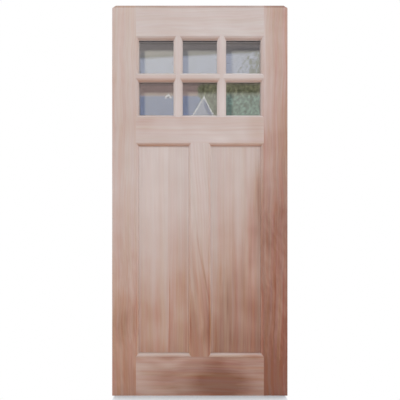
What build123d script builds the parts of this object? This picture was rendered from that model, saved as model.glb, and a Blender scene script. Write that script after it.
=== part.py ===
"""A glazed front door leaf of stile-and-rail construction, in bare wood.

The leaf stands upright. X runs from the hinge edge to the latch edge, the outer face looks toward -Y,
and Z is up. The origin is at the foot of the hinge edge, in the middle of the thickness.
All sizes are in millimetres.
"""
import os

from build123d import *

# Leaf
leaf_width = 914.4
leaf_height = 2032.0
leaf_thickness = 44.45
arris_radius = 1.5
corner_clip_width = 20.6
corner_clip_height = 13.0

# Flat faces of the frame members, between their mouldings
stile_face = 123.8
top_rail_face = 158.6
lites_height = 422.5
lock_rail_face = 134.1
bottom_rail_face = 203.2
mullion_face = 90.5
bar_face = 19.05

# Ovolo moulding: a small step at the face, a flattened quarter round, a flat, and the lip's edge
moulding_step = 0.8
moulding_round = 11.5
moulding_ease = 4.0
moulding_flat = 2.8
lip_edge = 2.0

# Flat panels in the grooves
panel_clearance = 0.1
panel_edge_gap = 3.0
panel_edge_chamfer = 1.0

# Insulated glass units and the beads that hold them
pane_thickness = 3.1
bedding = 0.2
glass_edge_gap = 3.0
spacer_width = 7.0
spacer_setback = 1.5
spacer_corner_radius = 4.0
mitre_kerf = 0.3

# Names of the lites and of the bars between them, counted from the hinge edge and from below
column_names = ["left", "middle", "right"]
row_names = ["lower", "upper"]
bar_names = ["left_glazing_bar", "right_glazing_bar"]

# Worked out from the driving sizes
front = -leaf_thickness / 2
back = leaf_thickness / 2
moulding_width = moulding_round + moulding_flat
moulding_depth = moulding_step + moulding_round + lip_edge
groove_front = front + moulding_depth
groove_back = back - moulding_depth
groove_width = groove_back - groove_front
inner_left = stile_face
inner_right = leaf_width - stile_face
inner_width = inner_right - inner_left
lites_top = leaf_height - top_rail_face
lites_bottom = lites_top - lites_height
panel_top = lites_bottom - lock_rail_face
panel_bottom = bottom_rail_face
mullion_left = (leaf_width - mullion_face) / 2
mullion_right = (leaf_width + mullion_face) / 2
lite_width = (inner_width - (len(column_names) - 1) * bar_face) / len(column_names)
lite_height = (lites_height - (len(row_names) - 1) * bar_face) / len(row_names)
lite_lefts = [inner_left + column * (lite_width + bar_face) for column in range(len(column_names))]
lite_bottoms = [lites_bottom + row * (lite_height + bar_face) for row in range(len(row_names))]

OUTER_FACE = -1
INNER_FACE = 1
LOW_EDGE = -1
HIGH_EDGE = 1


class MouldedLip(BaseSketchObject):
    """Section of one moulded lip, with X across the member and Y through the leaf.

    The lip stands on the edge line at X = 0, out toward edge (LOW_EDGE or HIGH_EDGE),
    against the OUTER_FACE or the INNER_FACE of the leaf.
    """

    def __init__(self, edge, face, mode=Mode.ADD):
        surface = face * leaf_thickness / 2
        step = surface - face * moulding_step
        flat = step - face * moulding_round
        groove = surface - face * moulding_depth
        round_end = edge * moulding_round
        tip = edge * moulding_width
        with BuildSketch() as lip:
            with BuildLine():
                RadiusArc((0, step), (round_end, flat), edge * face * (moulding_round + moulding_ease))
                Polyline((round_end, flat), (tip, flat), (tip, groove), (0, groove), (0, step))
            make_face()
        super().__init__(lip.sketch, mode=mode)


class MemberSection(BaseSketchObject):
    """Section of a frame member: its core from X = 0 to X = width, and its moulded lips.

    low_lips and high_lips say on which faces of the leaf each edge carries a lip.
    """

    def __init__(self, width, low_lips=(), high_lips=(), mode=Mode.ADD):
        with BuildSketch() as section:
            Rectangle(width, leaf_thickness, align=(Align.MIN, Align.CENTER))
            for face in low_lips:
                MouldedLip(LOW_EDGE, face)
            with Locations((width, 0)):
                for face in high_lips:
                    MouldedLip(HIGH_EDGE, face)
        super().__init__(section.sketch, mode=mode)


def upright(left, bottom):
    """Plane for the section of an upright member that is extruded up from bottom."""
    return Plane(origin=(left, 0, bottom), x_dir=(1, 0, 0), z_dir=(0, 0, 1))


def level(right, bottom):
    """Plane for the section of a level member that is extruded from right toward the hinge edge."""
    return Plane(origin=(right, 0, bottom), x_dir=(0, 0, 1), z_dir=(-1, 0, 0))


def upright_face(left, bottom, depth):
    """Plane parallel to the leaf's faces, with its origin at a corner of a lite or a panel."""
    return Plane(origin=(left, depth, bottom), x_dir=(1, 0, 0), z_dir=(0, -1, 0))


def save(piece, name):
    """Names a finished piece and writes it as one STEP file."""
    piece.part.label = name
    export_step(piece.part, f"parts/{name}.step")


os.makedirs("parts", exist_ok=True)
both_faces = (OUTER_FACE, INNER_FACE)
outer_face_only = (OUTER_FACE,)

# Stiles: moulded full length on the inner edge, rebated behind the lites, outer arrises eased
with BuildPart() as hinge_stile:
    with BuildSketch(upright(0, 0)):
        MemberSection(stile_face, high_lips=both_faces)
    extrude(amount=leaf_height)
    with BuildSketch(upright_face(inner_left, lites_bottom, back)):
        Rectangle(moulding_width, lites_height, align=Align.MIN)
    extrude(amount=moulding_depth, mode=Mode.SUBTRACT)
    outer_corner = hinge_stile.edges().filter_by(Axis.Y).group_by(Axis.Z)[-1].sort_by(Axis.X)[0]
    outer_side = hinge_stile.faces().sort_by(Axis.X)[0]
    chamfer(outer_corner, corner_clip_height, corner_clip_width, reference=outer_side)
    outer_arrises = hinge_stile.edges().filter_by(Axis.Z).group_by(Axis.X)[0]
    fillet(outer_arrises, arris_radius)
save(hinge_stile, "hinge_stile")

with BuildPart() as latch_stile:
    mirror(hinge_stile.part, about=Plane.YZ.offset(leaf_width / 2))
save(latch_stile, "latch_stile")

# Rails: coped over the stiles' mouldings, with stub tongues in their grooves
rails = {}
for name, bottom, face, low_lips, high_lips in [
    ("top_rail", lites_top, top_rail_face, outer_face_only, ()),
    ("lock_rail", panel_top, lock_rail_face, both_faces, outer_face_only),
    ("bottom_rail", 0, bottom_rail_face, (), both_faces),
]:
    with BuildPart() as rail:
        with BuildSketch(level(inner_right, bottom)):
            MemberSection(face, low_lips, high_lips)
        extrude(amount=inner_width)
        add(hinge_stile.part, mode=Mode.SUBTRACT)
        add(latch_stile.part, mode=Mode.SUBTRACT)
    rails[name] = rail
    save(rail, name)

# Mullion between the panels, coped to the lock rail and the bottom rail
with BuildPart() as mullion:
    with BuildSketch(upright(mullion_left, panel_bottom)):
        MemberSection(mullion_face, both_faces, both_faces)
    extrude(amount=panel_top - panel_bottom)
    add(rails["lock_rail"].part, mode=Mode.SUBTRACT)
    add(rails["bottom_rail"].part, mode=Mode.SUBTRACT)
save(mullion, "mullion")

# Flat panels, free to move in their grooves
panel_height = panel_top - panel_bottom - 2 * panel_edge_gap
panel_thickness = groove_width - 2 * panel_clearance
for name, left, right in [
    ("left_panel", inner_left, mullion_left),
    ("right_panel", mullion_right, inner_right),
]:
    with BuildPart() as panel:
        corner = upright_face(left + panel_edge_gap, panel_bottom + panel_edge_gap, panel_thickness / 2)
        with BuildSketch(corner):
            Rectangle(right - left - 2 * panel_edge_gap, panel_height, align=Align.MIN)
        extrude(amount=panel_thickness)
        rims = panel.faces().filter_by(Axis.Y).edges()
        chamfer(rims, panel_edge_chamfer)
    save(panel, name)

# Upright glazing bars: moulded outside, square inside, coped to the top rail and the lock rail
bars = []
for name, lite_left in zip(bar_names, lite_lefts[1:]):
    with BuildPart() as bar:
        with BuildSketch(upright(lite_left - bar_face, lites_bottom)):
            MemberSection(bar_face, outer_face_only, outer_face_only)
        extrude(amount=lites_height)
        add(rails["top_rail"].part, mode=Mode.SUBTRACT)
        add(rails["lock_rail"].part, mode=Mode.SUBTRACT)
    bars.append(bar)
    save(bar, name)

# Cross bars: one to each column, coped to the uprights on both sides
posts = [hinge_stile, *bars, latch_stile]
for column, column_name in enumerate(column_names):
    with BuildPart() as cross_bar:
        with BuildSketch(level(lite_lefts[column] + lite_width, lite_bottoms[1] - bar_face)):
            MemberSection(bar_face, outer_face_only, outer_face_only)
        extrude(amount=lite_width)
        add(posts[column].part, mode=Mode.SUBTRACT)
        add(posts[column + 1].part, mode=Mode.SUBTRACT)
    save(cross_bar, f"cross_bar_{column_name}")

# Insulated glass units and their mitred inner beads, one set to each lite
pane_width = lite_width - 2 * glass_edge_gap
pane_height = lite_height - 2 * glass_edge_gap
spacer_front = groove_front + bedding + pane_thickness
spacer_back = groove_back - bedding - pane_thickness
mitre_cut = 4 * moulding_width
for row, row_name in enumerate(row_names):
    for column, column_name in enumerate(column_names):
        place = f"{row_name}_{column_name}"
        pane_left = lite_lefts[column] + glass_edge_gap
        pane_bottom = lite_bottoms[row] + glass_edge_gap

        for pane_name, pane_back in [("outer_pane", spacer_front), ("inner_pane", groove_back - bedding)]:
            with BuildPart() as pane:
                with BuildSketch(upright_face(pane_left, pane_bottom, pane_back)):
                    Rectangle(pane_width, pane_height, align=Align.MIN)
                extrude(amount=pane_thickness)
            save(pane, f"{pane_name}_{place}")

        with BuildPart() as spacer:
            middle = upright_face(pane_left + pane_width / 2, pane_bottom + pane_height / 2, spacer_back)
            with BuildSketch(middle):
                RectangleRounded(
                    pane_width - 2 * spacer_setback,
                    pane_height - 2 * spacer_setback,
                    spacer_corner_radius,
                )
                offset(amount=-spacer_width, mode=Mode.SUBTRACT)
            extrude(amount=spacer_back - spacer_front)
        save(spacer, f"spacer_{place}")

        with BuildPart() as beads:
            corner = upright_face(lite_lefts[column], lite_bottoms[row], back)
            with BuildLine(corner) as bead_path:
                Polyline((0, 0), (lite_width, 0), (lite_width, lite_height), (0, lite_height), close=True)
            with BuildSketch(level(lite_lefts[column], lite_bottoms[row])):
                MouldedLip(HIGH_EDGE, INNER_FACE)
            sweep(path=bead_path.wires()[0], transition=Transition.RIGHT)
            with BuildSketch(corner):
                with Locations((0, 0), (lite_width, lite_height)):
                    Rectangle(mitre_cut, mitre_kerf, rotation=45)
                with Locations((lite_width, 0), (0, lite_height)):
                    Rectangle(mitre_cut, mitre_kerf, rotation=-45)
            extrude(amount=moulding_depth, mode=Mode.SUBTRACT)
        save(beads, f"glazing_beads_{place}")
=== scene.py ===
"""Looks of a glazed front door leaf in bare wood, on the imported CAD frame, in metres."""
import math

import bpy
import numpy as np
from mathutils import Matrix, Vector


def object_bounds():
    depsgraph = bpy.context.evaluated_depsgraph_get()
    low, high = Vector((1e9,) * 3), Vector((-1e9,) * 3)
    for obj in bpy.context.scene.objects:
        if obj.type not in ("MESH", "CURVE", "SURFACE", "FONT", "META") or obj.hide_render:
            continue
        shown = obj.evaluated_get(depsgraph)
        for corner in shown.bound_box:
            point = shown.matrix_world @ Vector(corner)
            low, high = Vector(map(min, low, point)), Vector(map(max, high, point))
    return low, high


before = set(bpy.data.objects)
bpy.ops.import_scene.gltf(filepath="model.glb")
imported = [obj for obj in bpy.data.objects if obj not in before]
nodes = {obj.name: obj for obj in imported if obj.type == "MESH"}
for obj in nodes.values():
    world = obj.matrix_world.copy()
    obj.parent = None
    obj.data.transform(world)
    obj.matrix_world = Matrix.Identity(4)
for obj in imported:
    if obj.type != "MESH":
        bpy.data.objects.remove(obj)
cad_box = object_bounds()

# Stiles
# The two full-height uprights of the leaf, solid planks of fir with the moulding cut along their inner edges.
# The wood is planed, sanded and left bare, so it looks matt and dry, and each plank has its own figure.
# The stiles are glued and dowelled to the rails.
MM = 0.001
LEAF_TOP = cad_box[1][2]
WOOD_TONES = [
    (0.0, "#D5CECC"),
    (0.2, "#CABFBB"),
    (0.4, "#C2B0A8"),
    (0.6, "#B69889"),
    (0.8, "#A38070"),
    (1.0, "#8A6453"),
]
# Sizes of the figure in mm. Rings and fibres are finer in real planks, and are drawn wider so that they show.
RING_SPACING = 10.0
STREAK_WIDTH = 24.0
FIBRE_WIDTH = 3.2
TINT_WIDTH = 20.0
CLOUD_SIZE = 190.0
WANDER_SIZE = 260.0
FLAME_WIDTH = 17.0
FLAME_TOP = 1150.0
FLAME_STRAY = 20.0
TOP_BAND = 10.0
RELIEF = 0.1
# How far the figure is drawn out along the grain, and the lean of the flame in degrees
ALONG_FIBRE = (1, 1, 0.03)
ALONG_RINGS = (1, 1, 0.1)
ALONG_FLAME = (1, 1, 0.22)
FLAME_LEAN = -12.0
# How far the figure jumps from one glued board to the next, in metres
NEXT_BOARD = (0.04, 0.3, 0)
# How much a mark strays with the grain, as a share of its half width, and its reach inward, in metres
MARK_STRAY = 0.3
MARK_REACH = 0.5
# Gains in depth of tone, and the spans over which the surface comes to face up, down or aside
FIBRE_GAIN = 0.1
TOP_BAND_GAIN = 0.28
FACING_UP = (0.05, 0.9)
FACING_DOWN = (-0.05, -0.9)
FACING_SIDE = (0.2, 0.95)
# The tone of what faces aside, paler as painted light from the sides
FLANK_TONE = 0.58
# Saturation of painted light facing up and aside, its loss on the top band, and the swing of slow streaks
UP_LIGHT_RICHNESS = 1.45
SIDE_LIGHT_RICHNESS = 1.25
TOP_BAND_GREY = 0.15
TINT_SPAN = (0.3, 0.7)
HUE_SWING = 0.014
RICHNESS_SWING = 0.18
DEEP_TONES = (0.6, 0.95)
# Sockets of a node that runs a value from one range to another
RANGE_SOCKETS = ("Value", "From Min", "From Max", "To Min", "To Max")
# Turn of the grain in the leaf's face and its lean through the thickness, in degrees
UPRIGHT = (0.0, 0.0)
LEVEL = (90.0, 0.0)


def linear(hex_colour):
    """An sRGB hex colour as linear red, green, blue and alpha."""
    channels = np.array([int(hex_colour[i:i + 2], 16) for i in (1, 3, 5)]) / 255.0
    light = np.where(channels <= 0.04045, channels / 12.92, ((channels + 0.055) / 1.055) ** 2.4)
    return (*light.tolist(), 1.0)


def add_node(tree, kind, sockets=None, **settings):
    """Adds a node with its settings, fills its sockets with values or links, and gives its outputs."""
    node = tree.nodes.new(kind)
    for setting, value in settings.items():
        setattr(node, setting, value)
    for socket, value in (sockets or {}).items():
        if isinstance(value, bpy.types.NodeSocket):
            tree.links.new(value, node.inputs[socket])
        else:
            node.inputs[socket].default_value = value
    return node.outputs


def blank_material(name):
    """A new material and its empty node tree."""
    material = bpy.data.materials.new(name)
    material.use_nodes = True
    material.node_tree.nodes.clear()
    return material, material.node_tree


def sanded_fir(
    name,
    grain,
    pith,
    tones,
    fade=(100.0, 1150.0),
    rings=0.04,
    streaks=0.14,
    clouds=0.10,
    wander=9.0,
    flame=0.0,
    underside_shade=0.0,
    up_highlight=0.75,
    richness=1.0,
    warmth=0.0,
    strips=(),
    marks=(),
):
    """Bare sanded fir whose depth of tone, from 0 pale to 1 deep red-brown, is worked out as a solid.

    depth = a smooth step of height between the tones (top, foot), over the heights fade: partly the boards'
    own tone, and partly painted sheen near the top and painted shade towards the foot
    + growth rings about the pith line + streaks and fibres drawn out along the grain + soft clouds
    + leaning flame low down + marks. What faces up is paler as a painted highlight from above, what faces
    down is deeper by a painted shade set per piece, what faces aside is paler as painted light, and a band
    along the top edge is deeper and greyer. The painted light on what faces up and aside is also richer in
    colour. Slow streaks turn the hue and the saturation a little, warmth shifts the hue, and richness scales
    the saturation of all but the deep tones.
    wander is how far the grain strays in mm, and pith is (x, y, z) in mm.
    Each strip is (x, gain): a glue line and the tone of the board to its right.
    Each mark is (x, z, turn, half width, half length, gain): a soft patch of deeper or paler tone, in mm;
    some are painted shade or painted highlight along lips and edges.
    """
    material, tree = blank_material(name)
    place = add_node(tree, "ShaderNodeTexCoord")["Object"]
    across, _, height = add_node(tree, "ShaderNodeSeparateXYZ", {"Vector": place})
    turn, lean = grain
    sockets = {
        "Vector": place,
        "Location": [c * MM for c in pith],
        "Rotation": (math.radians(lean), math.radians(turn), 0),
    }
    board = add_node(tree, "ShaderNodeMapping", sockets, vector_type="TEXTURE")["Vector"]
    layers = []
    for glue_line, gain in strips:
        beyond = add_node(tree, "ShaderNodeMath", {0: across, 1: glue_line * MM}, operation="GREATER_THAN")[0]
        jump = add_node(tree, "ShaderNodeCombineXYZ", {0: beyond, 1: beyond})[0]
        sockets = {0: jump, 1: NEXT_BOARD, 2: board}
        board = add_node(tree, "ShaderNodeVectorMath", sockets, operation="MULTIPLY_ADD")["Vector"]
        layers.append((beyond, gain, 0.0))

    # The grain strays with a slow drift, and the figure is laid along it
    sockets = {"Vector": board, "Scale": 1.0 / (WANDER_SIZE * MM), "Detail": 1.0}
    drift = add_node(tree, "ShaderNodeTexNoise", sockets)["Color"]
    sockets = {0: drift, 1: (0.5, 0.5, 0.5)}
    drift = add_node(tree, "ShaderNodeVectorMath", sockets, operation="SUBTRACT")["Vector"]
    sockets = {0: drift, 1: (2 * wander * MM,) * 3, 2: board}
    board = add_node(tree, "ShaderNodeVectorMath", sockets, operation="MULTIPLY_ADD")["Vector"]
    sockets = {0: board, 1: ALONG_FIBRE}
    drawn_out = add_node(tree, "ShaderNodeVectorMath", sockets, operation="MULTIPLY")["Vector"]
    sockets = {0: board, 1: ALONG_RINGS}
    ring_space = add_node(tree, "ShaderNodeVectorMath", sockets, operation="MULTIPLY")["Vector"]
    sockets = {
        "Vector": ring_space,
        "Scale": math.pi / 10 / (RING_SPACING * MM),
        "Distortion": 4.0,
        "Detail": 3.0,
        "Detail Scale": 0.4,
        "Detail Roughness": 0.6,
    }
    ring = add_node(tree, "ShaderNodeTexWave", sockets, wave_type="RINGS", rings_direction="Z")["Fac"]
    figure = {}
    for part, space, size, detail, roughness in (
        ("fibre", drawn_out, FIBRE_WIDTH, 2.0, 0.5),
        ("streak", drawn_out, STREAK_WIDTH, 4.0, 0.66),
        ("tint", drawn_out, TINT_WIDTH, 3.0, 0.6),
        ("cloud", board, CLOUD_SIZE, 2.0, 0.5),
    ):
        sockets = {"Vector": space, "Scale": 1.0 / (size * MM), "Detail": detail, "Roughness": roughness}
        figure[part] = add_node(tree, "ShaderNodeTexNoise", sockets)
    fibre = figure["fibre"]["Fac"]
    sockets = {
        "Value": height,
        "From Min": LEAF_TOP - 1.2 * TOP_BAND * MM,
        "From Max": LEAF_TOP - 0.8 * TOP_BAND * MM,
    }
    top_band = add_node(tree, "ShaderNodeMapRange", sockets, interpolation_type="SMOOTHSTEP")["Result"]
    layers += [
        (ring, rings, 0.5),
        (figure["streak"]["Fac"], streaks * 3, 0.5),
        (fibre, FIBRE_GAIN, 0.5),
        (figure["cloud"]["Fac"], clouds * 3, 0.5),
        (top_band, TOP_BAND_GAIN, 0.0),
    ]
    if flame:
        sockets = {0: drift, 1: (2 * FLAME_STRAY * MM,) * 3, 2: board}
        licks = add_node(tree, "ShaderNodeVectorMath", sockets, operation="MULTIPLY_ADD")["Vector"]
        sockets = {"Vector": licks, "Rotation": (0, math.radians(FLAME_LEAN), 0)}
        licks = add_node(tree, "ShaderNodeMapping", sockets, vector_type="TEXTURE")["Vector"]
        sockets = {0: licks, 1: ALONG_FLAME}
        licks = add_node(tree, "ShaderNodeVectorMath", sockets, operation="MULTIPLY")["Vector"]
        sockets = {"Vector": licks, "Scale": 1.0 / (FLAME_WIDTH * MM)}
        licks = add_node(tree, "ShaderNodeTexNoise", sockets)["Fac"]
        licks = add_node(tree, "ShaderNodeMath", {0: licks, 1: 0.5}, operation="SUBTRACT")[0]
        sockets = {"Value": height, "From Min": FLAME_TOP * MM, "From Max": 0.7 * FLAME_TOP * MM}
        low_down = add_node(tree, "ShaderNodeMapRange", sockets, interpolation_type="SMOOTHSTEP")["Result"]
        licks = add_node(tree, "ShaderNodeMath", {0: licks, 1: low_down}, operation="MULTIPLY")[0]
        layers.append((licks, flame * 3, 0.0))
    for x, z, mark_turn, half_width, half_length, gain in marks:
        sockets = {0: drift, 1: (2 * MARK_STRAY * half_width * MM,) * 3, 2: place}
        patch = add_node(tree, "ShaderNodeVectorMath", sockets, operation="MULTIPLY_ADD")["Vector"]
        sockets = {
            "Vector": patch,
            "Location": (x * MM, 0, z * MM),
            "Rotation": (0, math.radians(mark_turn), 0),
            "Scale": (half_width * MM, MARK_REACH, half_length * MM),
        }
        patch = add_node(tree, "ShaderNodeMapping", sockets, vector_type="TEXTURE")["Vector"]
        patch = add_node(tree, "ShaderNodeTexGradient", {"Vector": patch}, gradient_type="SPHERICAL")["Fac"]
        sockets = {"Value": patch}
        patch = add_node(tree, "ShaderNodeMapRange", sockets, interpolation_type="SMOOTHSTEP")["Result"]
        layers.append((patch, gain, 0.0))

    # The tone at each height, then every layer added to it
    # Paler at the top, deeper at the foot: partly the boards' own tone, partly painted sheen and shade
    top, foot = tones
    low, high = fade
    sockets = dict(zip(RANGE_SOCKETS, (height, low * MM, high * MM, foot, top)))
    depth = add_node(tree, "ShaderNodeMapRange", sockets, interpolation_type="SMOOTHSTEP")["Result"]
    for layer, gain, middle in layers:
        swing = add_node(tree, "ShaderNodeMath", {0: layer, 1: middle}, operation="SUBTRACT")[0]
        depth = add_node(tree, "ShaderNodeMath", {0: swing, 1: gain, 2: depth}, operation="MULTIPLY_ADD")[0]

    # What the direction of the surface and the slow streaks do to the tone, the hue and the saturation
    normal = add_node(tree, "ShaderNodeNewGeometry")["Normal"]
    facing_side, _, facing_up = add_node(tree, "ShaderNodeSeparateXYZ", {"Vector": normal})
    facing_side = add_node(tree, "ShaderNodeMath", {0: facing_side}, operation="ABSOLUTE")[0]
    hue_streak, rich_streak, _ = add_node(tree, "ShaderNodeSeparateColor", {"Color": figure["tint"]["Color"]})
    middle_hue = 0.5 + warmth
    runs = {}
    for part, value, span, ends in (
        # Painted highlight on what faces up, as if lit from above
        ("lit_from_above", facing_up, FACING_UP, (1.0, 1.0 - up_highlight)),
        # Painted shade on what faces down
        ("shaded", facing_up, FACING_DOWN, (0.0, underside_shade)),
        # Painted light on what faces aside
        ("lit_from_aside", facing_side, FACING_SIDE, (1.0, FLANK_TONE)),
        # Richer colour in the painted light on what faces up and aside
        ("up_light_richness", facing_up, FACING_UP, (1.0, UP_LIGHT_RICHNESS)),
        ("side_light_richness", facing_side, FACING_SIDE, (1.0, SIDE_LIGHT_RICHNESS)),
        ("hue", hue_streak, TINT_SPAN, (middle_hue - HUE_SWING, middle_hue + HUE_SWING)),
        ("tint", rich_streak, TINT_SPAN, (1.0 - RICHNESS_SWING, 1.0 + RICHNESS_SWING)),
    ):
        sockets = dict(zip(RANGE_SOCKETS, (value, *span, *ends)))
        runs[part] = add_node(tree, "ShaderNodeMapRange", sockets)["Result"]
    sockets = {0: depth, 1: runs["lit_from_above"], 2: runs["shaded"]}
    depth = add_node(tree, "ShaderNodeMath", sockets, operation="MULTIPLY_ADD")[0]
    depth = add_node(tree, "ShaderNodeMath", {0: depth, 1: runs["lit_from_aside"]}, operation="MULTIPLY")[0]
    sockets = dict(zip(RANGE_SOCKETS, (depth, *DEEP_TONES, richness, 1.0)))
    saturation = add_node(tree, "ShaderNodeMapRange", sockets)["Result"]
    sockets = {0: top_band, 1: -TOP_BAND_GREY, 2: saturation}
    saturation = add_node(tree, "ShaderNodeMath", sockets, operation="MULTIPLY_ADD")[0]
    for part in ("tint", "up_light_richness", "side_light_richness"):
        saturation = add_node(tree, "ShaderNodeMath", {0: saturation, 1: runs[part]}, operation="MULTIPLY")[0]

    tone = add_node(tree, "ShaderNodeValToRGB", {"Fac": depth})["Color"]
    stops = tone.node.color_ramp.elements
    for i, (position, hex_colour) in enumerate(WOOD_TONES):
        stop = stops[i] if i < 2 else stops.new(position)
        stop.position = position
        stop.color = linear(hex_colour)
    sockets = {"Hue": runs["hue"], "Saturation": saturation, "Color": tone}
    colour = add_node(tree, "ShaderNodeHueSaturation", sockets)["Color"]
    relief = add_node(tree, "ShaderNodeMath", {0: fibre, 1: ring}, operation="ADD")[0]
    sockets = {"Height": relief, "Strength": 0.1, "Distance": RELIEF * MM}
    bump = add_node(tree, "ShaderNodeBump", sockets)["Normal"]
    sockets = {"Base Color": colour, "Roughness": 0.62, "Specular IOR Level": 0.3, "Normal": bump}
    finish = add_node(tree, "ShaderNodeBsdfPrincipled", sockets)["BSDF"]
    add_node(tree, "ShaderNodeOutputMaterial", {"Surface": finish})
    return material


def dress(node_name, material):
    """Gives a CAD node its material in every slot."""
    mesh = nodes[node_name].data
    if not mesh.materials:
        mesh.materials.append(material)
    for slot in range(len(mesh.materials)):
        mesh.materials[slot] = material


dress(
    "hinge_stile",
    sanded_fir(
        "sanded_fir_hinge_stile",
        UPRIGHT,
        (-60, 90, 300),
        (0.29, 0.7),
        wander=16.0,
        flame=0.035,
        warmth=0.003,
        marks=[
            (62, 1900, 0, 300, 700, 0.09),
            (104, 550, -7, 16, 180, -0.08),
            (45, 400, 0, 60, 180, 0.08),
            (112, 270, 0, 40, 160, -0.07),
            (8, 1500, 0, 40, 320, 0.06),
            (8, 130, 0, 40, 130, 0.07),
            (70, 60, 0, 120, 160, 0.05),
            (100, 470, 0, 50, 180, 0.06),
            (129, 480, 0, 9, 400, 0.14),
        ],
    ),
)
# Its deeper, redder tone is partly the plank's own and partly painted shade on the latch side.
dress(
    "latch_stile",
    sanded_fir(
        "sanded_fir_latch_stile",
        UPRIGHT,
        (985, 75, 2300),
        (0.53, 1.0),
        fade=(0.0, 1550.0),
        rings=0.03,
        wander=16.0,
        flame=0.09,
        richness=0.89,
        warmth=-0.005,
        marks=[
            (790, 1740, 0, 60, 540, -0.19),
            (815, 1350, 0, 60, 140, 0.07),
            (910, 1250, 0, 110, 650, 0.14),
            (850, 900, 0, 80, 260, 0.12),
            (850, 90, 0, 100, 160, 0.10),
            (800, 1000, 0, 50, 220, 0.07),
            (800, 620, 0, 40, 220, -0.05),
            (782, 330, 0, 16, 300, 0.05),
            (782, 880, 0, 18, 420, 0.17),
            (784, 650, 0, 9, 500, 0.14),
            # Painted shade along the outer edge, at its rounded arris
            (915, 1000, 0, 14, 3000, 0.10),
            (880, 1960, 0, 70, 220, 0.07),
            (808, 815, 0, 40, 130, 0.12),
            (895, 1360, 0, 40, 110, 0.06),
            (830, 440, 0, 60, 120, 0.08),
            (865, 430, 0, 50, 330, -0.06),
        ],
    ),
)

# Rails
# The three level planks between the stiles, coped over the stiles' mouldings and dowelled to them.
# The same bare fir, with the grain running level, so its streaks lie across the leaf.
dress(
    "top_rail",
    sanded_fir(
        "sanded_fir_top_rail",
        (90.0, 2.0),
        (300, 60, 1900),
        (0.35, 0.27),
        fade=(1890.0, 2000.0),
        streaks=0.17,
        underside_shade=0.06,
        richness=0.76,
        marks=[(690, 1880, 0, 150, 60, -0.14)],
    ),
)
dress(
    "lock_rail",
    sanded_fir(
        "sanded_fir_lock_rail",
        LEVEL,
        (200, 90, 1330),
        (0.25, 0.7),
        streaks=0.17,
        underside_shade=0.25,
        marks=[
            (250, 1440, 0, 330, 90, 0.18),
            (760, 1390, 0, 90, 130, 0.20),
            (545, 1345, 0, 110, 60, -0.15),
        ],
    ),
)
dress(
    "bottom_rail",
    sanded_fir(
        "sanded_fir_bottom_rail",
        (91.0, 1.5),
        (500, 90, 40),
        (0.5, 0.775),
        rings=0.03,
        streaks=0.15,
        # A weaker painted highlight on what faces up
        up_highlight=0.62,
        richness=0.8,
        marks=[
            (130, 110, 0, 150, 140, -0.30),
            (260, 170, 0, 200, 60, -0.16),
            (290, 207, 0, 280, 45, -0.21),
            (160, 15, 0, 200, 60, -0.22),
            (535, 165, 0, 75, 60, 0.16),
            (240, 165, 0, 60, 40, 0.08),
            (760, 165, 0, 110, 50, -0.08),
            (640, 15, 0, 140, 50, 0.10),
            (570, 70, 90, 100, 220, 0.38),
            (640, 226, 0, 200, 38, 0.55),
            (790, 50, 0, 60, 110, -0.06),
            (780, 110, 0, 60, 50, 0.06),
        ],
    ),
)

# Mullion
# The short upright between the two panels, of the same fir, coped to the lock rail and the bottom rail.
# Its plank was cut across a swirl, so the grain sweeps from one edge to the other.
dress(
    "mullion",
    sanded_fir(
        "sanded_fir_mullion",
        (-4.0, 1.0),
        (400, 90, 700),
        (0.18, 0.79),
        rings=0.07,
        streaks=0.17,
        richness=0.95,
        warmth=0.003,
        marks=[
            (422, 500, 0, 30, 260, 0.06),
            (482, 315, 0, 25, 90, 0.07),
            (474, 550, 0, 55, 200, 0.20),
            (492, 380, 0, 25, 200, 0.10),
            (466, 700, -11, 7, 330, 0.10),
            (482, 640, -8, 5, 240, 0.10),
            (410, 330, -2, 6, 140, 0.18),
            (508, 330, 0, 7, 220, 0.14),
            # Painted shadow along the lips on both sides, in the next three
            (404, 800, 0, 10, 3000, 0.20),
            (507, 900, 0, 10, 3000, 0.16),
            (507, 420, 0, 10, 400, 0.16),
            (446, 830, -7, 8, 260, 0.12),
            (470, 950, 0, 70, 320, 0.06),
        ],
    ),
)

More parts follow.
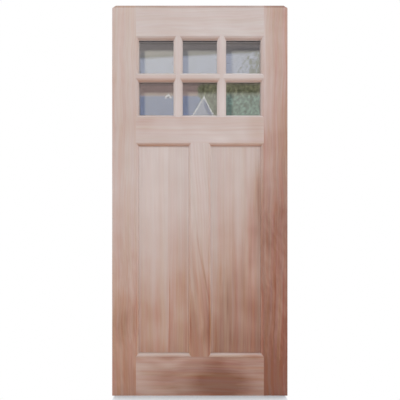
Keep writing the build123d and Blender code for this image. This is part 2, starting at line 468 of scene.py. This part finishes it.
# Panels
# Two flat panels of fir, each glued up from two boards, so the tone and figure change at a glue line.
# They stand in the grooves of the frame with no glue, free to swell and shrink.
dress(
    "left_panel",
    sanded_fir(
        "sanded_fir_left_panel",
        UPRIGHT,
        (200, 120, 500),
        (0.12, 0.67),
        rings=0.03,
        streaks=0.10,
        wander=5.0,
        richness=0.94,
        warmth=0.002,
        strips=[(291.5, 0.05)],
        marks=[
            (350, 780, 0, 70, 330, 0.12),
            (365, 590, 0, 45, 160, 0.07),
            (255, 560, 0, 90, 260, -0.07),
            # Painted highlights along the lips on both sides, in the next two
            (137, 1000, 0, 14, 3000, -0.14),
            (393, 1000, 0, 12, 3000, -0.09),
            (291, 480, 0, 5, 320, -0.13),
            (297, 480, 0, 4, 330, 0.10),
            (270, 310, 0, 150, 120, -0.04),
            (230, 430, 0, 100, 100, 0.07),
        ],
    ),
)
dress(
    "right_panel",
    sanded_fir(
        "sanded_fir_right_panel",
        UPRIGHT,
        (700, 120, 500),
        (0.25, 0.84),
        wander=5.0,
        richness=0.88,
        strips=[(625.0, 0.02)],
        marks=[
            (772, 700, 0, 26, 800, 0.17),
            (772, 450, 0, 10, 700, -0.06),
            # Painted highlight along the lip on the left
            (518, 1000, 0, 12, 3000, -0.12),
            (766, 1060, 0, 13, 230, 0.16),
            # Painted highlight along the lip on the right
            (776, 1000, 0, 5, 3000, -0.18),
            (760, 1150, 0, 45, 260, 0.11),
            (740, 960, 0, 110, 330, 0.28),
            (700, 700, 0, 100, 260, 0.10),
            (600, 600, 0, 85, 800, 0.13),
            (604, 477, 0, 7, 170, 0.18),
            (724, 470, 0, 8, 260, -0.08),
            (715, 440, 0, 100, 220, 0.09),
            (735, 830, 0, 60, 110, 0.06),
            (745, 590, 0, 60, 120, -0.13),
            (712, 440, 0, 70, 90, 0.08),
            (540, 446, 0, 40, 90, -0.07),
        ],
    ),
)

# Glazing bars
# Narrow moulded bars of fir between the lites: two uprights, and three cross bars coped to them.
# The uprights are a little paler at the foot, and the undersides of the cross bars deeper by painted shade.
UPRIGHT_BAR_PITH = (430, 80, 1600)
CROSS_BAR_PITH = (430, 80, 1640)
for name, middle, tone in (("left_glazing_bar", 343, 0.24), ("right_glazing_bar", 571, 0.2)):
    pale_foot = (middle, 1520, 0, 60, 180, -0.16)
    tones = (tone, 0.7)
    wood = sanded_fir(f"sanded_fir_{name}", UPRIGHT, UPRIGHT_BAR_PITH, tones, richness=0.9, marks=[pale_foot])
    dress(name, wood)
for name, tone, underside_shade in (
    ("cross_bar_left", 0.34, 0.16),
    ("cross_bar_middle", 0.27, 0.12),
    ("cross_bar_right", 0.2, 0.06),
):
    tones = (tone, 0.7)
    wood = sanded_fir(f"sanded_fir_{name}", LEVEL, CROSS_BAR_PITH, tones, underside_shade=underside_shade, richness=0.92)
    dress(name, wood)

# Glass units
# Six sealed double units: two panes of clear float glass with a spacer of mill-finish aluminium between.
# Each unit is bedded against the lips of the bars and held from inside by the beads.
PLACES = [f"{row}_{column}" for row in ("lower", "upper") for column in ("left", "middle", "right")]
# Width of the rolled grain in mm, drawn coarser than a real one so that it shows
ROLLED_GRAIN = 1.111


def float_glass(name):
    """Clear float glass, flat and bright from its making: it mirrors sharply, and lamplight passes it."""
    material, tree = blank_material(name)
    sockets = {"Base Color": linear("#FBFBFB"), "Roughness": 0.0, "IOR": 1.52, "Transmission Weight": 1.0}
    glass = add_node(tree, "ShaderNodeBsdfPrincipled", sockets)["BSDF"]
    clear = add_node(tree, "ShaderNodeBsdfTransparent")["BSDF"]
    lamp_ray = add_node(tree, "ShaderNodeLightPath")["Is Shadow Ray"]
    surface = add_node(tree, "ShaderNodeMixShader", {0: lamp_ray, 1: glass, 2: clear})["Shader"]
    add_node(tree, "ShaderNodeOutputMaterial", {"Surface": surface})
    return material


def mill_aluminium(name):
    """Aluminium as the rolling mill leaves it, a dull grey sheen with a grain of ROLLED_GRAIN mm."""
    material, tree = blank_material(name)
    place = add_node(tree, "ShaderNodeTexCoord")["Object"]
    grain = add_node(tree, "ShaderNodeTexNoise", {"Vector": place, "Scale": 1.0 / (ROLLED_GRAIN * MM)})["Fac"]
    rough = add_node(tree, "ShaderNodeMapRange", {"Value": grain, "To Min": 0.35, "To Max": 0.55})["Result"]
    sockets = {"Base Color": linear("#77787A"), "Metallic": 1.0, "Roughness": rough}
    metal = add_node(tree, "ShaderNodeBsdfPrincipled", sockets)["BSDF"]
    add_node(tree, "ShaderNodeOutputMaterial", {"Surface": metal})
    return material


pane_glass = float_glass("float_glass_pane")
spacer_metal = mill_aluminium("mill_aluminium_spacer")
for place_name in PLACES:
    dress(f"outer_pane_{place_name}", pane_glass)
    dress(f"inner_pane_{place_name}", pane_glass)
    dress(f"spacer_{place_name}", spacer_metal)

# Glazing beads
# Thin moulded strips of the same fir, mitred at the corners and pinned from inside to hold the glass units.
# They are cut from one run of stock, so one wood serves all six sets.
bead_wood = sanded_fir("sanded_fir_glazing_beads", UPRIGHT, (430, 90, 1500), (0.25, 0.7))
for place_name in PLACES:
    dress(f"glazing_beads_{place_name}", bead_wood)

# Studio floor and backing
# A white floor that ends just behind the leaf, and a plain sheet close behind that shows only in the glass.
# Both are flat painted sheets, and neither is part of the leaf.
LEAF_WIDTH = cad_box[1][0] - cad_box[0][0]
LEAF_FRONT = cad_box[0][1]
LEAF_BACK = cad_box[1][1]
FLOOR_BACK_EDGE = LEAF_BACK + 0.008
BACKING_DEPTH = LEAF_BACK + 0.0013
WHITE = "#FFFFFF"
SHADOW_END = LEAF_WIDTH / 2 - 0.005
SHADOW_END_FADE = 0.014
SHADOW_NEAR = LEAF_FRONT - 0.008
SHADOW_FAR = LEAF_FRONT - 0.07


def flat_sheet(name, material, corners):
    """One painted rectangle through four corners, listed anticlockwise as seen from its front."""
    mesh = bpy.data.meshes.new(name)
    mesh.from_pydata(corners, [], [(0, 1, 2, 3)])
    mesh.materials.append(material)
    sheet = bpy.data.objects.new(name, mesh)
    bpy.context.scene.collection.objects.link(sheet)
    return sheet


def seen_rays(tree):
    """1 for the rays that show the background: from the camera, mirrored, or passed through glass."""
    rays = add_node(tree, "ShaderNodeLightPath")
    seen = rays["Is Camera Ray"]
    for ray in ("Is Glossy Ray", "Is Transmission Ray"):
        seen = add_node(tree, "ShaderNodeMath", {0: seen, 1: rays[ray]}, operation="MAXIMUM")[0]
    return seen


def floor_paint(name):
    """White paint that is bright only to the rays that show the background, so it sends up little light.

    It takes the leaf's shadow in front of the foot, and fades to plain white past its ends and far out.
    """
    material, tree = blank_material(name)
    seen = seen_rays(tree)
    dull = add_node(tree, "ShaderNodeBsdfDiffuse", {"Color": linear("#FFD2B8")})[0]
    white = add_node(tree, "ShaderNodeBsdfDiffuse", {"Color": linear("#E2E9EE")})[0]
    glow = add_node(tree, "ShaderNodeEmission", {"Color": linear(WHITE), "Strength": 0.05})[0]
    shadowed = add_node(tree, "ShaderNodeAddShader", {0: white, 1: glow})[0]
    place = add_node(tree, "ShaderNodeTexCoord")["Object"]
    along, ahead, _ = add_node(tree, "ShaderNodeSeparateXYZ", {"Vector": place})
    aside = add_node(tree, "ShaderNodeMath", {0: along, 1: LEAF_WIDTH / 2}, operation="SUBTRACT")[0]
    aside = add_node(tree, "ShaderNodeMath", {0: aside}, operation="ABSOLUTE")[0]
    sockets = {"Value": aside, "From Min": SHADOW_END - SHADOW_END_FADE, "From Max": SHADOW_END}
    past_ends = add_node(tree, "ShaderNodeMapRange", sockets, interpolation_type="SMOOTHSTEP")["Result"]
    sockets = {"Value": ahead, "From Min": SHADOW_NEAR, "From Max": SHADOW_FAR}
    far_out = add_node(tree, "ShaderNodeMapRange", sockets)["Result"]
    faded = add_node(tree, "ShaderNodeMath", {0: past_ends, 1: far_out}, operation="MAXIMUM")[0]
    plain = add_node(tree, "ShaderNodeEmission", {"Color": linear(WHITE), "Strength": 1.0})[0]
    bright = add_node(tree, "ShaderNodeMixShader", {0: faded, 1: shadowed, 2: plain})[0]
    surface = add_node(tree, "ShaderNodeMixShader", {0: seen, 1: dull, 2: bright})[0]
    add_node(tree, "ShaderNodeOutputMaterial", {"Surface": surface})
    return material


def backing_paint(name):
    """Matt grey paint, which shows the bars' shadows behind the glass."""
    material, tree = blank_material(name)
    paint = add_node(tree, "ShaderNodeBsdfDiffuse", {"Color": linear("#6E6D66")})[0]
    add_node(tree, "ShaderNodeOutputMaterial", {"Surface": paint})
    return material


floor = flat_sheet(
    "studio_floor",
    floor_paint("white_floor_paint"),
    [(-3, -3, 0), (4, -3, 0), (4, FLOOR_BACK_EDGE, 0), (-3, FLOOR_BACK_EDGE, 0)],
)
backing = flat_sheet(
    "studio_backing",
    backing_paint("matt_backing_paint"),
    [
        (0.03, BACKING_DEPTH, 1.36),
        (0.88, BACKING_DEPTH, 1.36),
        (0.88, BACKING_DEPTH, 1.98),
        (0.03, BACKING_DEPTH, 1.98),
    ],
)

# Mirrored street
# A card in front of the leaf that only mirrored rays see, so the panes show a soft street as real ones would.
# It is drawn from a few plain shapes: above, a wall under its eaves, and below, a roof, two gables and trees.
# The upper row of panes mirrors what lies over ROW_SPLIT, and the lower row what lies under it.
STREET_AHEAD = -1.0
PANE_MIRROR = 0.155
EAVE_SLOPE = 0.054
EAVE_HEIGHT = 2.438
ROOF_LINE = 2.076
ROW_SPLIT = 2.258
TREE_EDGE = 0.44
TREE_LEAN = 0.55
# Clusters of leaves and clumps of trees on the card, in mm
LEAF_CLUSTER = 24.0
TREE_CLUMP = 90.0


def street_view(name):
    """The street's picture, its colours written as they show in a pane that mirrors PANE_MIRROR of the light.

    Each value is worked out in turn, from a row of (its name, what is done, and to what): RAMP runs smoothly
    from 0 to 1, or between its last two numbers, while its first term runs between the next two.
    Each picture is a base colour with others laid over it where a value is 1.
    """
    material, tree = blank_material(name)
    place = add_node(tree, "ShaderNodeTexCoord")["Object"]
    along, _, height = add_node(tree, "ShaderNodeSeparateXYZ", {"Vector": place})
    values = {"along": along, "height": height}
    for growth, size, detail, roughness in (
        ("leaves", LEAF_CLUSTER, 4.0, 0.65),
        ("clumps", TREE_CLUMP, 2.0, 0.5),
    ):
        sockets = {"Vector": place, "Scale": 1.0 / (size * MM), "Detail": detail, "Roughness": roughness}
        values[growth] = add_node(tree, "ShaderNodeTexNoise", sockets)["Fac"]
    steps = [
        ("lit_leaves", "RAMP", "leaves", 0.38, 0.62),
        ("over_roof", "RAMP", "height", ROOF_LINE - 0.02, ROOF_LINE + 0.05),
        ("by_gable", "RAMP", "along", 0.70, 0.62),
        ("eave_level", "MULTIPLY_ADD", "along", -EAVE_SLOPE, "height"),
        ("above_eave", "SUBTRACT", "eave_level", EAVE_HEIGHT),
        ("from_eave", "ABSOLUTE", "above_eave"),
        ("under_eave", "RAMP", "above_eave", 0.006, -0.006),
        ("soffit_front", "RAMP", "above_eave", 0.01, 0.075),
        ("gutter", "RAMP", "from_eave", 0.016, 0.004, 0.0, 0.7),
        ("below_eave", "SUBTRACT", EAVE_HEIGHT, "height"),
        ("cover_edge", "MULTIPLY_ADD", "below_eave", 0.5, "along"),
        ("past_cover", "SUBTRACT", "cover_edge", 0.94),
        ("cover_leaves", "MULTIPLY_ADD", "past_cover", 0.8, "leaves"),
        ("covered", "RAMP", "cover_leaves", 0.46, 0.6),
        ("wall_cover", "MULTIPLY", "covered", "under_eave"),
        ("cover", "MULTIPLY", "wall_cover", 0.75),
        ("beyond_roof", "RAMP", "height", ROOF_LINE - 0.005, ROOF_LINE + 0.005),
        ("down_roof", "SUBTRACT", ROOF_LINE, "height"),
        ("below_roof", "MAXIMUM", "down_roof", 0.0),
        ("lean_along", "MULTIPLY_ADD", "below_roof", -TREE_LEAN, "along"),
        ("bulge", "SUBTRACT", "clumps", 0.5),
        ("tree_along", "MULTIPLY_ADD", "bulge", 0.15, "lean_along"),
        ("in_trees", "RAMP", "tree_along", TREE_EDGE - 0.01, TREE_EDGE + 0.01),
        ("lower_row", "LESS_THAN", "height", ROW_SPLIT),
    ]
    roof_layers = [("beyond_roof", "#796866"), ("in_trees", "trees")]
    for gable, top_along, top_height, spread, lean, depth, wall_colour in (
        ("small_gable", 0.163, 2.099, 0.9, 0.0, 0.042, "#4A5068"),
        ("large_gable", 0.496, 2.075, 0.57, 0.05, 0.5, "#767A8A"),
    ):
        steps += [
            (f"{gable}_below", "SUBTRACT", top_height, "height"),
            (f"{gable}_along", "SUBTRACT", "along", top_along),
            (f"{gable}_aside", "MULTIPLY_ADD", f"{gable}_below", lean, f"{gable}_along"),
            (f"{gable}_offset", "ABSOLUTE", f"{gable}_aside"),
            (f"{gable}_under", "MULTIPLY_ADD", f"{gable}_offset", -1.0 / spread, f"{gable}_below"),
            (f"{gable}_kept", "LESS_THAN", f"{gable}_below", depth),
            (f"{gable}_edge", "RAMP", f"{gable}_under", -0.006, 0.006),
            (f"{gable}_verge", "MULTIPLY", f"{gable}_edge", f"{gable}_kept"),
            (f"{gable}_inner", "RAMP", f"{gable}_under", 0.016, 0.026),
            (f"{gable}_wall", "MULTIPLY", f"{gable}_inner", f"{gable}_kept"),
            (f"{gable}_near_verge", "RAMP", f"{gable}_under", 0.1, 0.075),
            (f"{gable}_right", "RAMP", f"{gable}_aside", 0.0, 0.012),
            (f"{gable}_corner", "MULTIPLY", f"{gable}_near_verge", f"{gable}_right"),
            (f"{gable}_shade", "MULTIPLY", f"{gable}_wall", f"{gable}_corner"),
        ]
        roof_layers += [
            (f"{gable}_verge", "#A4A5AA"),
            (f"{gable}_wall", wall_colour),
            (f"{gable}_shade", "#4C5270"),
        ]
    for result, action, *terms in steps:
        terms = [values.get(term, term) for term in terms]
        if action == "RAMP":
            sockets = dict(zip(RANGE_SOCKETS, terms))
            ramp = add_node(tree, "ShaderNodeMapRange", sockets, interpolation_type="SMOOTHSTEP")
            values[result] = ramp["Result"]
        else:
            values[result] = add_node(tree, "ShaderNodeMath", dict(enumerate(terms)), operation=action)[0]

    wall_layers = [
        ("soffit_front", "#6A6566"),
        ("under_eave", "#7F8496"),
        ("gutter", "#3A3838"),
        ("cover", "#41442A"),
    ]
    tree_layers = [
        ("lit_leaves", "#537169"),
        ("by_gable", "near_trees"),
        ("over_roof", "far_trees"),
    ]
    pictures = {}
    for picture, base, layers in (
        ("far_trees", "#2C3118", [("lit_leaves", "#78765F")]),
        ("near_trees", "#242E26", [("lit_leaves", "#535C52")]),
        ("trees", "#243A35", tree_layers),
        ("roofs", "#57617F", roof_layers),
        ("street", "#4C4A50", [*wall_layers, ("lower_row", "roofs")]),
    ):
        colour = linear(base)
        for mask, upper in layers:
            upper = pictures[upper] if upper in pictures else linear(upper)
            sockets = {"Fac": values[mask], "Color1": colour, "Color2": upper}
            colour = add_node(tree, "ShaderNodeMixRGB", sockets)["Color"]
        pictures[picture] = colour

    bounces = add_node(tree, "ShaderNodeLightPath")["Glossy Depth"]
    mirrored = add_node(tree, "ShaderNodeMath", {0: bounces, 1: 0.5}, operation="GREATER_THAN")[0]
    sockets = {"Color": pictures["street"], "Strength": 1.0 / PANE_MIRROR}
    glow = add_node(tree, "ShaderNodeEmission", sockets)[0]
    clear = add_node(tree, "ShaderNodeBsdfTransparent")["BSDF"]
    surface = add_node(tree, "ShaderNodeMixShader", {0: mirrored, 1: clear, 2: glow})["Shader"]
    add_node(tree, "ShaderNodeOutputMaterial", {"Surface": surface})
    return material


street = flat_sheet(
    "studio_street",
    street_view("soft_street_view"),
    [
        (-0.35, STREET_AHEAD, 1.75),
        (1.27, STREET_AHEAD, 1.75),
        (1.27, STREET_AHEAD, 2.75),
        (-0.35, STREET_AHEAD, 2.75),
    ],
)
for sheet in (backing, street):
    sheet.visible_camera = False
    sheet.visible_shadow = False
    sheet.visible_diffuse = False

# Lamps and surround
# An even white surround, and soft lamps over the front, to both sides and over the back that light the wood.
# One lamp lights the floor alone, and two small ones light the backing through the glass, past the bars.
LEAF_AIM = (0.457, 0.0, 1.1)
LITES_AIM = (0.457, 0.0, 1.65)
FOOT_AIM = (0.457, 0.0, 0.0)
OVERHEAD = (3.4, 0.9)
BESIDE = (1.2, 2.4)
SMALL = (0.4, 0.4)

world = bpy.data.worlds.new("studio_surround")
bpy.context.scene.world = world
world.use_nodes = True
surround = world.node_tree
surround.nodes.clear()
ambient = add_node(surround, "ShaderNodeBackground", {"Color": linear("#F6FAFF"), "Strength": 0.55})[0]
white = add_node(surround, "ShaderNodeBackground", {"Color": linear(WHITE), "Strength": 1.0})[0]
shown = add_node(surround, "ShaderNodeMixShader", {0: seen_rays(surround), 1: ambient, 2: white})[0]
add_node(surround, "ShaderNodeOutputWorld", {"Surface": shown})


def soft_lamp(name, place, target, size, watts, hex_colour, lit_things):
    """A rectangular soft lamp at place that faces target.

    Its light is kept to the things named, while everything still casts shadows in it.
    """
    lamp = bpy.data.lights.new(name, "AREA")
    lamp.shape = "RECTANGLE"
    lamp.size, lamp.size_y = size
    lamp.energy = watts
    lamp.color = linear(hex_colour)[:3]
    holder = bpy.data.objects.new(name, lamp)
    bpy.context.scene.collection.objects.link(holder)
    ahead = np.array(target) - np.array(place)
    turn = math.atan2(ahead[0], ahead[1])
    tilt = math.atan2(-ahead[2], math.hypot(ahead[0], ahead[1]))
    holder.location = place
    holder.rotation_euler = (math.pi / 2 - tilt, 0, -turn)
    lit = bpy.data.collections.new(f"lit_by_{name}")
    for thing in lit_things:
        lit.objects.link(thing)
    holder.light_linking.receiver_collection = lit


unglazed = [piece for node_name, piece in nodes.items() if "_pane_" not in node_name]
soft_lamp("key_lamp", (0.40, -2.6, 4.3), LEAF_AIM, OVERHEAD, 61.0, WHITE, unglazed)
soft_lamp("left_lamp", (-2.6, -1.0, 1.7), LEAF_AIM, BESIDE, 19.0, WHITE, unglazed)
soft_lamp("right_lamp", (3.5, -1.0, 1.7), LEAF_AIM, BESIDE, 25.0, WHITE, unglazed)
soft_lamp("back_lamp", (0.5, 2.6, 4.3), LEAF_AIM, OVERHEAD, 105.0, WHITE, unglazed)
soft_lamp("floor_lamp", (0.457, 0.6, 4.2), FOOT_AIM, (4.0, 2.0), 150.0, WHITE, [floor])
soft_lamp("glass_lamp", (-0.76, -1.3, 3.13), LITES_AIM, SMALL, 108.0, "#FFF9EC", [backing])
soft_lamp("glass_fill", (0.457, -1.3, 3.13), LITES_AIM, SMALL, 34.0, "#E4EAFC", [backing])

# Camera
# Straight in front of the leaf's middle, level, at a little under half its height.
# The wide lens and the small shift frame the leaf as in the photograph.
CAMERA_DISTANCE = 1.277
CAMERA_HEIGHT = 0.915
camera_data = bpy.data.cameras.new("camera")
camera_data.sensor_width = 36.0
camera_data.lens = 22.06
camera_data.shift_x = 0.0004
camera_data.shift_y = 0.0501
camera = bpy.data.objects.new("camera", camera_data)
bpy.context.scene.collection.objects.link(camera)
camera.location = (LEAF_WIDTH / 2, LEAF_FRONT - CAMERA_DISTANCE, CAMERA_HEIGHT)
camera.rotation_euler = (math.pi / 2, 0, 0)
bpy.context.scene.camera = camera
bpy.context.scene.view_settings.view_transform = "Standard"
